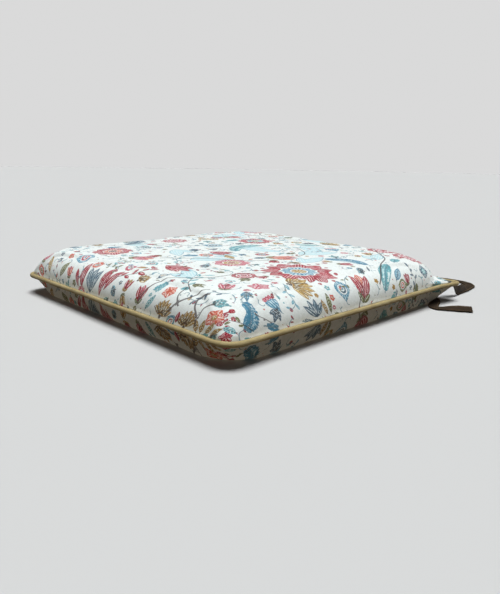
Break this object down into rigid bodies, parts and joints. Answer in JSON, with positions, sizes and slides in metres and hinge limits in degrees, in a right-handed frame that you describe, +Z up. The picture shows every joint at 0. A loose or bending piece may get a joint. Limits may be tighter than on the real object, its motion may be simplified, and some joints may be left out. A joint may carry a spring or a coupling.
{
  "type": "chair seat pad",
  "caption": "Square foam seat pad in a zipped floral-print cover with a piped seam and tie straps at the back corners.",
  "frame": {"origin": "middle of the pad's flat underside, on the surface that it lies on", "axes": "+Z up through the pad's thickness, +Y towards the back edge that holds the zip and the ties, +X towards the right-hand side"},
  "size_m": [0.4954, 0.5258, 0.058],
  "materials": {
    "foam": "open-cell polyurethane foam",
    "wadding": "white polyester fibre",
    "printed_cotton": "matt woven cotton with an all-over flower print",
    "piping_cloth": "tan bias-cut cotton",
    "cotton_cord": "braided cotton filler cord",
    "zip_tape": "woven polyester tape",
    "zip_coil": "nylon coil",
    "zip_metal": "antique brass plating",
    "tie_cloth": "dark brown folded cotton, top-stitched",
    "tack_thread": "gold polyester thread"
  },
  "bodies": {
    "pad": {"foam_core": "foam", "wadding_top": "wadding", "wadding_bottom": "wadding", "cover_top_panel": "printed_cotton", "cover_bottom_panel": "printed_cotton", "piping_cover": "piping_cloth", "piping_cord": "cotton_cord", "zip_tape_upper": "zip_tape", "zip_tape_lower": "zip_tape", "zip_coil_upper": "zip_coil", "zip_coil_lower": "zip_coil", "zip_stop_closed_end": "zip_metal", "zip_stop_open_end": "zip_metal", "bar_tack_right_1": "tack_thread", "bar_tack_right_2": "tack_thread", "bar_tack_left_1": "tack_thread", "bar_tack_left_2": "tack_thread", "tie_right_lower_tucked": "tie_cloth", "tie_left_lower_tucked": "tie_cloth"},
    "slider": {"zip_slider": "zip_metal"},
    "pull_tab": {"zip_pull_tab": "zip_metal"},
    "right_upper_tie": {"tie_right_upper": "tie_cloth"},
    "right_lower_tie": {"tie_right_lower_free": "tie_cloth"},
    "left_upper_tie": {"tie_left_upper": "tie_cloth"},
    "left_lower_tie": {"tie_left_lower_free": "tie_cloth"}
  },
  "joints": [
    {"name": "zip_slide", "type": "slide", "parent": "pad", "child": "slider", "axis": [-1, 0, 0], "range_m": [0, 0.2644]},
    {"name": "pull_tab_swing", "type": "hinge", "parent": "slider", "child": "pull_tab", "pos_m": [0.1322, 0.19729, 0.01137], "axis": [0, -0.347, -0.9379], "range_deg": [0, 170]},
    {"name": "right_upper_tie_lift", "type": "hinge", "parent": "pad", "child": "right_upper_tie", "pos_m": [0.187, 0.20822, 0.025], "axis": [1, 0, 0], "range_deg": [0, 100]},
    {"name": "left_upper_tie_lift", "type": "hinge", "parent": "pad", "child": "left_upper_tie", "pos_m": [-0.187, 0.20822, 0.025], "axis": [1, 0, 0], "range_deg": [0, 100]},
    {"name": "right_lower_tie_lift", "type": "hinge", "parent": "pad", "child": "right_lower_tie", "pos_m": [0.2088, 0.1425, 0.0023], "axis": [-0.201, -0.9796, 0], "range_deg": [0, 80]},
    {"name": "left_lower_tie_lift", "type": "hinge", "parent": "pad", "child": "left_lower_tie", "pos_m": [-0.2088, 0.1425, 0.0023], "axis": [-0.201, 0.9796, 0], "range_deg": [0, 80]}
  ]
}
